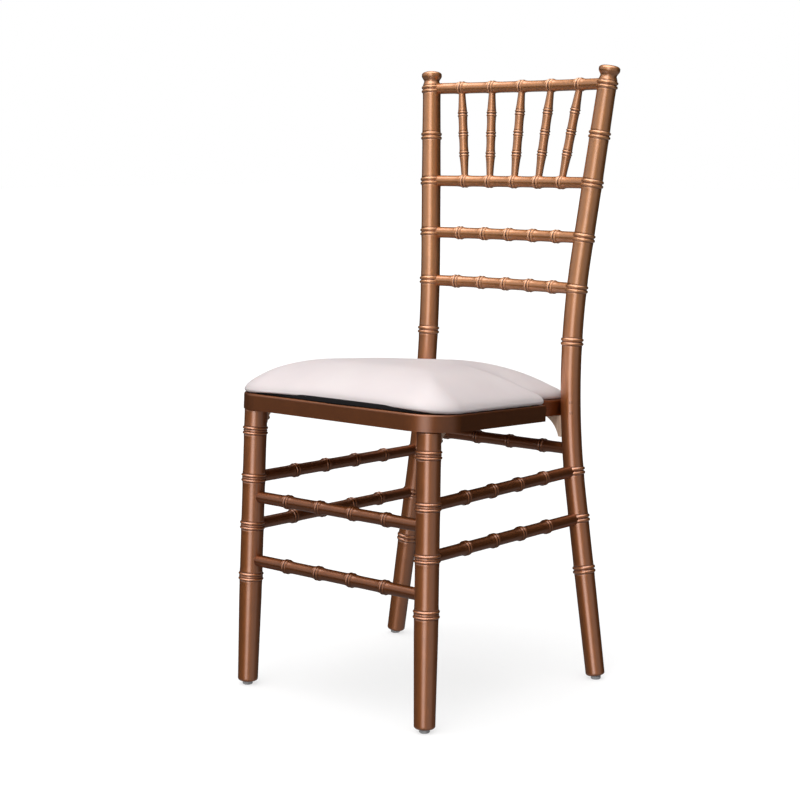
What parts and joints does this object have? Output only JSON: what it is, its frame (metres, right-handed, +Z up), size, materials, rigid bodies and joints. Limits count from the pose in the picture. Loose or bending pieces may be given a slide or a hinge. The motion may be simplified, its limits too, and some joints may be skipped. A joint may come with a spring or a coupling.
{
  "type": "chiavari chair",
  "caption": "Light dining chair with turned bamboo-style legs, bent back posts, bowed rails, fanned spindles and a lift-off seat cushion.",
  "frame": {"origin": "on the floor, under the middle of the chair's bounding box", "axes": "+Z up, -Y towards the front of the seat, +X to the right as seen from the front"},
  "size_m": [0.4316, 0.4522, 0.9202],
  "materials": {
    "turned_wood": "bronze metallic satin lacquer",
    "seat_wood": "bronze metallic satin lacquer",
    "panel_wood": "bronze metallic satin lacquer",
    "block_wood": "bare wood",
    "glide_nylon": "matte grey",
    "board_cover": "black woven dust cover",
    "cushion_cover": "smooth satin leatherette"
  },
  "bodies": {
    "frame": {"front_leg_left": "turned_wood", "back_post_left": "turned_wood", "side_stretcher_left_lower": "turned_wood", "side_stretcher_left_upper": "turned_wood", "front_leg_right": "turned_wood", "back_post_right": "turned_wood", "side_stretcher_right_lower": "turned_wood", "side_stretcher_right_upper": "turned_wood", "front_stretcher_lower": "turned_wood", "front_stretcher_upper": "turned_wood", "back_stretcher": "turned_wood", "crest_rail": "turned_wood", "spindle_rail": "turned_wood", "back_rail_upper": "turned_wood", "back_rail_lower": "turned_wood", "spindle_1": "turned_wood", "spindle_2": "turned_wood", "spindle_3": "turned_wood", "spindle_4": "turned_wood", "spindle_5": "turned_wood", "seat_rail_front": "seat_wood", "seat_rail_left": "seat_wood", "seat_rail_right": "seat_wood", "seat_rail_back": "seat_wood", "seat_panel": "panel_wood", "gusset_front_left": "block_wood", "gusset_front_right": "block_wood", "gusset_back_left": "block_wood", "gusset_back_right": "block_wood", "glide_front_left": "glide_nylon", "glide_front_right": "glide_nylon", "glide_back_left": "glide_nylon", "glide_back_right": "glide_nylon"},
    "cushion": {"cushion_board": "board_cover", "cushion_pad": "cushion_cover"}
  },
  "joints": [
    {"name": "cushion_lift", "type": "slide", "parent": "frame", "child": "cushion", "axis": [0, -0.7071, 0.7071], "range_m": [0, 0.3]}
  ]
}
